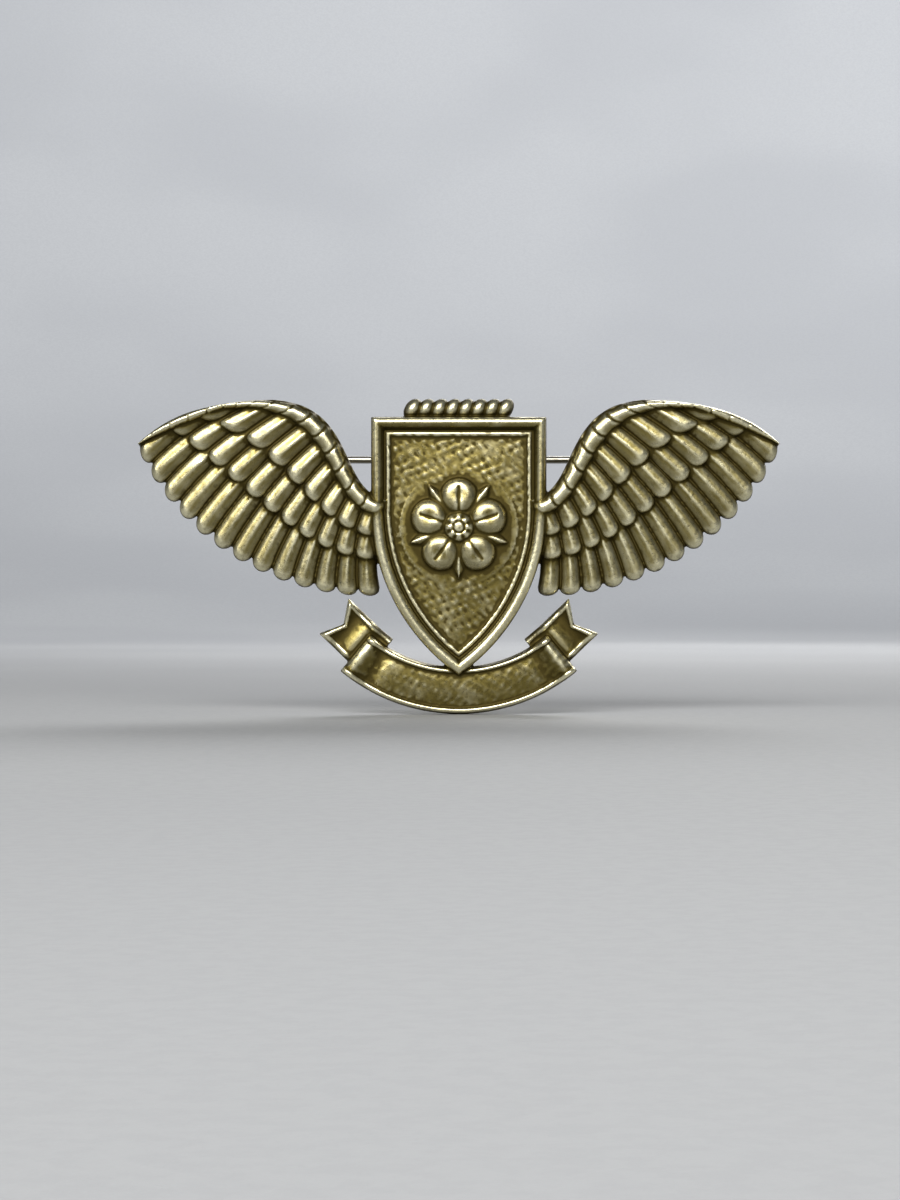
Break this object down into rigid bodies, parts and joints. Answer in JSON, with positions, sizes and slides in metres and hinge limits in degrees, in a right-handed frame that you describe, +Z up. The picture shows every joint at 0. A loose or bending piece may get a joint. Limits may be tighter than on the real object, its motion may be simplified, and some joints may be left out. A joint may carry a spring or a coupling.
{
  "type": "cap badge",
  "caption": "Winged shield cap badge in cast brass relief, with a hinged brooch pin and a turning safety catch on its back.",
  "frame": {"origin": "on the flat back plane of the plate, midway between the hinge rivet and the middle of the catch, level with the pin", "axes": "+Z up as worn, -Y out of the face, +Y into the cap, +X towards the catch; the face is seen from -Y"},
  "size_m": [0.07, 0.0103, 0.0342],
  "materials": {
    "gilt_brass": "struck relief, gilt on the high parts and dark brown patina in the recesses",
    "fitting_brass": "plain stamped brass, dulled",
    "rivet_brass": "spread brass rivet",
    "roller_brass": "turned brass, worn bright on the tab",
    "pin_wire": "hard drawn wire, dull grey",
    "solder": "dull grey soft solder"
  },
  "bodies": {
    "badge": {"badge_plate": "gilt_brass", "hinge_base": "fitting_brass", "hinge_rivet": "rivet_brass", "hinge_solder": "solder", "catch_base": "fitting_brass", "catch_solder": "solder"},
    "pin": {"pin_stem": "pin_wire"},
    "roller": {"catch_roller": "roller_brass"}
  },
  "joints": [
    {"name": "pin_hinge", "type": "hinge", "parent": "badge", "child": "pin", "pos_m": [-0.016, 0.005, 0], "axis": [0, 0, 1], "range_deg": [0, 120]},
    {"name": "roller_turn", "type": "hinge", "parent": "badge", "child": "roller", "pos_m": [0.016, 0.005, 0], "axis": [1, 0, 0], "range_deg": [0, 110]}
  ]
}
